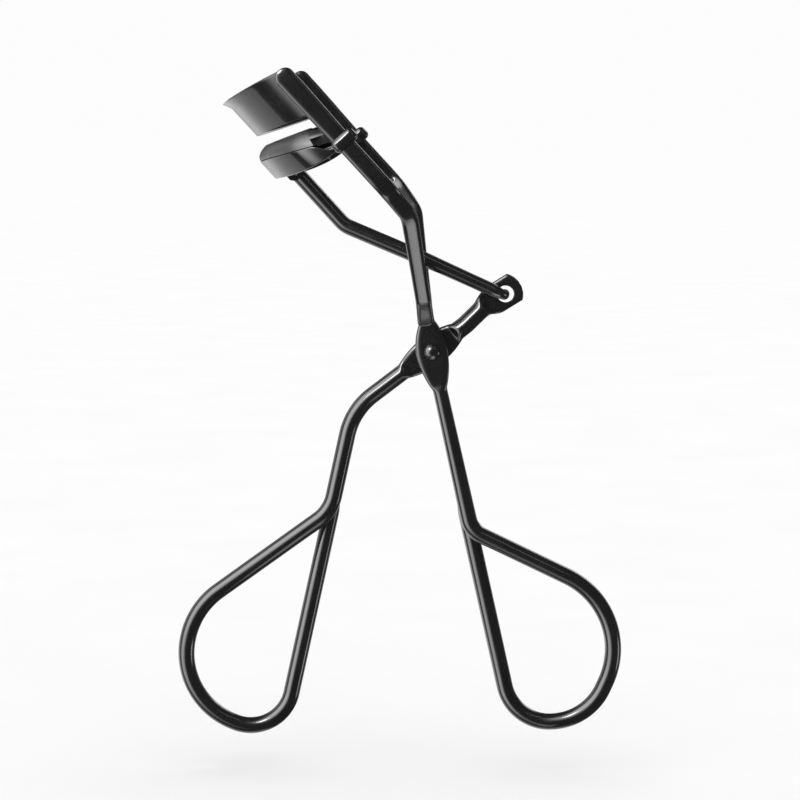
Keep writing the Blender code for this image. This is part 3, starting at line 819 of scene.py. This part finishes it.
def make_link():
    """A bent rod from the knuckle under the pad jaw to the hook in the lever's eye."""
    hook = EYE + Vector((-0.2, 0, -0.1))
    hook_end = EYE + Vector((-0.1, 1.6, -0.05))
    front = -0.75
    smallest_share = 0.15
    path = round_corners([
        (PIN.x, 0, PIN.z, 0),
        (-13.8, 0, 19.8, 4.0),
        (-1.5, front, 14.66, 30.0),
        (hook.x, front, hook.z, 0.95),
        (hook_end.x, hook_end.y, hook_end.z, 0),
    ])
    length = path_length(path)
    rows = []
    side = Vector((0, 1, 0))
    for distance, point, tangent in stations(path, [(0, length, LINK_STEP)]):
        narrow = mix(LINK_RADIUS, LINK_END_RADIUS, smoothstep(18, length - 7, distance))
        radius = mix(narrow, HOOK_RADIUS, smoothstep(length - 5.2, length - 3.4, distance))
        gap = length - distance
        if gap < HOOK_RADIUS:
            radius *= max(math.sqrt(1 - (1 - gap / HOOK_RADIUS) ** 2), smallest_share)
        side = (side - tangent * side.dot(tangent)).normalized()
        up = side.cross(tangent)
        ring = []
        for i in range(WIRE_SIDES):
            a = 2 * math.pi * i / WIRE_SIDES
            ring.append(point + (side * math.cos(a) + up * math.sin(a)) * radius)
        rows.append(ring)
    rod = loft("link_wire", rows)
    half = KNUCKLE_WIDTH / 2
    ease = 0.15
    knuckle = [
        (0, -half),
        (KNUCKLE_RADIUS - ease, -half),
        (KNUCKLE_RADIUS, -half + ease),
        (KNUCKLE_RADIUS, half - ease),
        (KNUCKLE_RADIUS - ease, half),
        (0, half),
    ]
    combine(rod, turned("knuckle", knuckle, PIN), "UNION")
    profile = bore_profile(PIN_RADIUS + 0.07, half, PIN_BORE_LIP)
    combine(rod, turned("bore", profile, PIN), "DIFFERENCE")
    return rod


# ---------------------------------------------------------------- materials


def add_node(tree, kind, inputs, settings):
    """A node with its settings, and each input either linked or given a value."""
    node = tree.nodes.new(kind)
    for key, value in settings.items():
        setattr(node, key, value)
    for key, value in dict(inputs).items():
        if isinstance(value, bpy.types.NodeSocket):
            tree.links.new(value, node.inputs[key])
        else:
            node.inputs[key].default_value = value
    return node


class Nodes:
    """A short way to write a material's nodes."""

    def __init__(self, name):
        self.material = bpy.data.materials.new(name)
        self.material.use_nodes = True
        self.tree = self.material.node_tree
        self.shader = self.tree.nodes["Principled BSDF"]

    def add(self, kind, inputs=(), **settings):
        return add_node(self.tree, kind, inputs, settings)

    def noise(self, scale, detail):
        place = self.add("ShaderNodeTexCoord").outputs["Object"]
        inputs = {"Vector": place, "Scale": scale, "Detail": detail, "Roughness": 0.5}
        return self.add("ShaderNodeTexNoise", inputs).outputs["Fac"]

    def spread(self, value, low, high):
        """The middle of a noise stretched to run from low to high."""
        inputs = {"Value": value, "From Min": 0.3, "From Max": 0.7, "To Min": low, "To Max": high}
        return self.add("ShaderNodeMapRange", inputs).outputs["Result"]

    def link(self, source, key):
        self.tree.links.new(source, self.shader.inputs[key])

    def set(self, **values):
        """Uniform values on the shader's own sockets: Coat_Weight for "Coat Weight"."""
        for key, value in values.items():
            self.shader.inputs[key.replace("_", " ")].default_value = value

    def cloudy_base(self, cloud, colours):
        """A base colour that drifts between two colours."""
        inputs = {"Factor": self.spread(cloud, 0.0, 1.0), "A": colours[0], "B": colours[1]}
        base = self.add("ShaderNodeMix", inputs, data_type="RGBA")
        self.link(base.outputs["Result"], "Base Color")

    def bump(self, height, strength, depth):
        inputs = {"Height": height, "Strength": strength, "Distance": depth}
        return self.add("ShaderNodeBump", inputs).outputs["Normal"]


def enamel():
    """Dipped black enamel: clear gloss with a faint orange peel, and a base a little cloudy below."""
    paint = Nodes("gloss_black_enamel")
    paint.cloudy_base(paint.noise(140.0, 3.0), ENAMEL_COLOURS)
    paint.link(paint.spread(paint.noise(420.0, 4.0), 0.2, 0.3), "Roughness")
    peel = paint.bump(paint.noise(420.0, 1.0), 0.06, 0.03 * MM)
    paint.link(peel, "Normal")
    paint.link(peel, "Coat Normal")
    paint.set(Specular_IOR_Level=0.2, Coat_Weight=0.85, Coat_Roughness=0.07)
    return paint.material


def silicone():
    """Moulded black silicone: softer gloss, a fine grain and a base a little cloudy."""
    rubber = Nodes("black_silicone_rubber")
    rubber.cloudy_base(rubber.noise(220.0, 4.0), SILICONE_COLOURS)
    rubber.link(rubber.spread(rubber.noise(700.0, 3.0), 0.38, 0.48), "Roughness")
    rubber.link(rubber.bump(rubber.noise(5200.0, 2.0), 0.2, 0.02 * MM), "Normal")
    rubber.set(Coat_Weight=0.3, Coat_Roughness=0.38)
    return rubber.material


# ---------------------------------------------------------------- stage


def make_floor():
    """A matt pale floor that the gloss doesn't mirror."""
    bm = bmesh.new()
    bmesh.ops.create_circle(bm, cap_ends=True, segments=96, radius=6.0)
    floor = make_object("floor", bm)
    floor.location.z = CAD_BOX[0][2] - FLOOR_DROP
    pale = Nodes("pale_floor")
    speckle = pale.spread(pale.noise(30.0, 3.0), 0.93, 0.95)
    grey = pale.add("ShaderNodeCombineColor", {"Red": speckle, "Green": speckle, "Blue": speckle})
    pale.link(grey.outputs["Color"], "Base Color")
    pale.set(Roughness=0.9, Specular_IOR_Level=0.0)
    floor.data.materials.append(pale.material)
    floor.visible_glossy = False
    floor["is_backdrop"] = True


class Sky:
    """The studio as a map of brightness over directions, for what the gloss mirrors."""

    def __init__(self):
        self.world = bpy.data.worlds.new("studio")
        bpy.context.scene.world = self.world
        self.world.use_nodes = True
        self.tree = self.world.node_tree
        self.tree.nodes.clear()
        self.way = self.new("ShaderNodeTexCoord").outputs["Generated"]

    def new(self, kind, inputs=(), **settings):
        return add_node(self.tree, kind, inputs, settings)

    def math(self, operation, a, b):
        return self.new("ShaderNodeMath", {0: a, 1: b}, operation=operation).outputs[0]

    def along(self, direction):
        """How far each direction points along a given one."""
        node = self.new("ShaderNodeVectorMath", {0: self.way, 1: direction}, operation="DOT_PRODUCT")
        return node.outputs["Value"]

    def ramp(self, value, low, high):
        """A smooth step from 0 at low to 1 at high."""
        inputs = {"Value": value, "From Min": low, "From Max": high}
        node = self.new("ShaderNodeMapRange", inputs, interpolation_type="SMOOTHSTEP")
        return node.outputs["Result"]

    def product(self, *values):
        total = values[0]
        for value in values[1:]:
            total = self.math("MULTIPLY", total, value)
        return total

    def spot(self, direction, wide, soft):
        """A round softbox: its half angle and the width of its soft edge, in degrees."""
        facing = self.along(Vector(direction).normalized())
        edge = math.cos(math.radians(wide + soft / 2))
        full = math.cos(math.radians(max(wide - soft / 2, 0.5)))
        return self.ramp(facing, edge, full)

    def panel(self, direction, half_wide, half_tall, soft):
        """A softbox with four sides, by half sizes and a soft edge in degrees."""
        ahead = Vector(direction).normalized()
        side = ahead.cross(Vector((0, 0, 1))).normalized()
        up = side.cross(ahead)
        masks = [self.ramp(self.along(ahead), 0.0, 0.05)]
        for axis, half in ((side, half_wide), (up, half_tall)):
            across = self.math("ABSOLUTE", self.along(axis), 0.0)
            full = math.sin(math.radians(max(half - soft / 2, 0.1)))
            gone = math.sin(math.radians(half + soft / 2))
            masks.append(self.ramp(across, gone, full))
        return self.product(*masks)

    def finish(self, mirrored, seen, lit):
        """The map for the gloss, a brightness for the camera and one for what lights the matt floor."""
        rays = self.new("ShaderNodeLightPath").outputs
        plain = self.new(
            "ShaderNodeMix", {0: rays["Is Camera Ray"], 2: lit, 3: seen}, data_type="FLOAT"
        ).outputs[0]
        strength = self.new(
            "ShaderNodeMix", {0: rays["Is Glossy Ray"], 2: plain, 3: mirrored}, data_type="FLOAT"
        ).outputs[0]
        background = self.new("ShaderNodeBackground", {"Color": (1, 1, 1, 1), "Strength": strength})
        output = self.new("ShaderNodeOutputWorld")
        self.tree.links.new(background.outputs[0], output.inputs[0])
        self.world.cycles.sampling_method = "NONE"


def make_sky():
    """An even white for the camera and the floor, and a darker studio for the gloss to mirror.

    That one has a pale table under and behind the tool that ends at its right, a tall panel in front at
    the left with a soft spot above it, and behind the tool a rim panel at the left, a spot and a rim panel
    at the right. The last is a small low panel at the right.
    """
    ambient = 0.07
    sky = Sky()
    below = sky.ramp(sky.along((0, 0, 1)), 0.05, -0.35)
    behind = sky.ramp(sky.along((0.1, 1.0, 0.0)), -0.1, -0.05)
    leftward = sky.ramp(sky.along((1, 0, 0)), 0.4, 0.1)
    forward = sky.ramp(sky.along((0, -1, 0.35)), 0.06, 0.3)
    parts = [
        (sky.product(below, behind, leftward), 1.0),
        (sky.product(sky.panel((-0.74, -0.6, 0.15), 24, 48, 34), forward), 5.0),
        (sky.spot((-0.62, -0.6, 0.5), 24, 40), 2.6),
        (sky.panel((-0.85, 0.5, 0.15), 24, 34, 24), 0.9),
        (sky.spot((0.45, 0.8, 0.5), 9, 12), 3.0),
        (sky.panel((0.6, 0.8, 0.1), 8, 30, 10), 0.8),
        (sky.panel((0.97, -0.1, -0.24), 9, 9, 8), 4.2),
    ]
    total = ambient
    for mask, level in parts:
        total = sky.math("ADD", total, sky.math("MULTIPLY", mask, level))
    sky.finish(total, seen=0.98, lit=1.045)


def softbox(name, place, aim, size, level, spread=180):
    """A small lamp panel that only the gloss mirrors.

    Place, aim and size are in the frame's millimetres, and spread in degrees.
    """
    place = Vector(place) * MM
    data = bpy.data.lights.new(name, "AREA")
    data.shape = "RECTANGLE"
    data.size = size[0] * MM
    data.size_y = size[1] * MM
    data.spread = math.radians(spread)
    data.energy = math.pi * data.size * data.size_y * level
    lamp = bpy.data.objects.new(name, data)
    lamp.location = place
    lamp.rotation_euler = (Vector(aim) * MM - place).to_track_quat("-Z", "Y").to_euler()
    lamp.visible_camera = False
    lamp.visible_diffuse = False
    bpy.context.scene.collection.objects.link(lamp)


def make_lamps():
    """A key above at the left, two cards low in front for the rail's leg, and a strip above at the right."""
    softbox("key", (-88, -188, 118), (0, 0, 0), (62, 62), 24.0)
    softbox("low_card", (11.2, -32.4, -46.6), (2.2, 3.6, 17.4), (34, 51), 0.22, spread=60)
    softbox("low_card_soft", (11.5, -36.7, -44.2), (2.5, -0.7, 19.8), (40, 61), 0.22, spread=60)
    softbox("right_strip", (80, -136, 138), (4, 0, 14), (10, 140), 3.2)


def make_camera():
    """The photograph's view: a long lens, a little above and to the right of the tool's front."""
    place = to_world(Vector((12.234, -452.456, 36.983)))
    target = to_world(Vector((-5.147, 0.0, -7.812)))
    seen_width = 0.12688
    data = bpy.data.cameras.new("camera")
    data.sensor_width = 36.0
    data.lens = data.sensor_width * (target - place).length / seen_width
    data.clip_start = 0.01
    camera = bpy.data.objects.new("camera", data)
    camera.location = place
    camera.rotation_euler = (target - place).to_track_quat("-Z", "Y").to_euler()
    bpy.context.scene.collection.objects.link(camera)
    bpy.context.scene.camera = camera


# ---------------------------------------------------------------- assembly

ENAMEL = enamel()
SILICONE = silicone()
BODY_OF = {
    node: body for body, nodes in frame["record"]["behaviour"]["bodies"].items() for node in nodes
}


def install(piece, node, material=ENAMEL):
    """The piece takes a CAD node's place: its body, its finish and its part in the model."""
    piece.data.materials.clear()
    piece.data.materials.append(material)
    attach(piece, BODY_OF[node])
    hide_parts(node)
    return piece


install(make_frame_wire(), "frame_handle")
install(make_guide_rail("front_rail", -1, FRAME_BOSS_Y - RAIL_FOOT_OFFSET), "front_guide_rail")
install(make_guide_rail("back_rail", 1, FRAME_BOSS_Y + RAIL_FOOT_OFFSET), "back_guide_rail")
install(make_fixed_jaw(), "upper_jaw_plate")
install(make_rivet(), "pivot_rivet")
install(make_washer("boss_spacer", SPACER_RADIUS, SPACER_THICKNESS, 0.0), "pivot_spacer")
washer_y = LEVER_BOSS_Y + BOSS_THICKNESS / 2 + STACK_GAP + WASHER_THICKNESS / 2
install(make_washer("tail_washer", WASHER_RADIUS, WASHER_THICKNESS, washer_y), "rivet_washer")
install(make_lever_wire(), "lever_handle")
install(make_jaw_holder(), "lower_jaw_holder")
install(make_pad(), "silicone_pad", SILICONE)
install(make_collar("front_collar", 1), "front_slide_collar")
install(make_collar("back_collar", -1), "back_slide_collar")
install(make_bracket(), "link_bracket")
install(make_pin(), "link_pin")
install(make_link(), "link_rod")

make_floor()
make_sky()
make_lamps()
make_camera()
bpy.context.scene.view_settings.view_transform = "Standard"

boxes = {"cad": CAD_BOX, "visual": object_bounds()}
{name: [list(corner) for corner in box] for name, box in boxes.items()}
